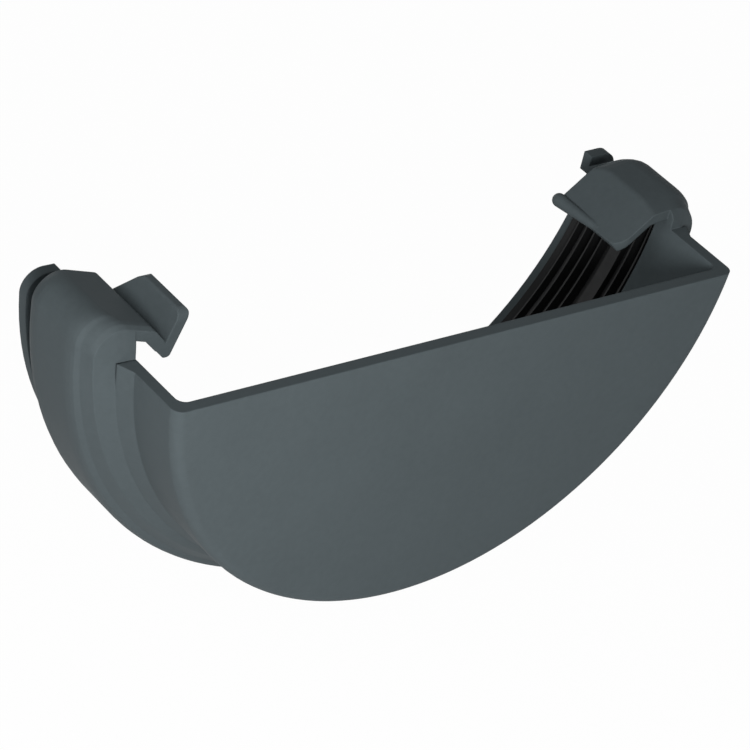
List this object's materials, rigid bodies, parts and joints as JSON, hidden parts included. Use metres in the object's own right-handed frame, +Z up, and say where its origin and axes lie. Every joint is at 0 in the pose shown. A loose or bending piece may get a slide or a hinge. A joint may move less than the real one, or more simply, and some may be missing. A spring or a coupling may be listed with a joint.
{
  "type": "gutter end cap",
  "caption": "Half-round rain gutter end cap in grey plastic: a flat end plate, a collar with a clip over each gutter edge, and a ribbed black rubber seal inside.",
  "frame": {"origin": "on the centre line of the gutter's half-round, midway along the flat land of the seal that the gutter sits in", "axes": "+X across the gutter, +Y along the gutter and out of the collar's mouth, +Z up; the end plate is at the -Y end"},
  "size_m": [0.1244, 0.0373, 0.0629],
  "materials": {
    "grey_plastic": "satin",
    "black_rubber": "matte"
  },
  "bodies": {
    "root": {"end_cap_body": "grey_plastic", "gutter_seal": "black_rubber"}
  },
  "joints": []
}
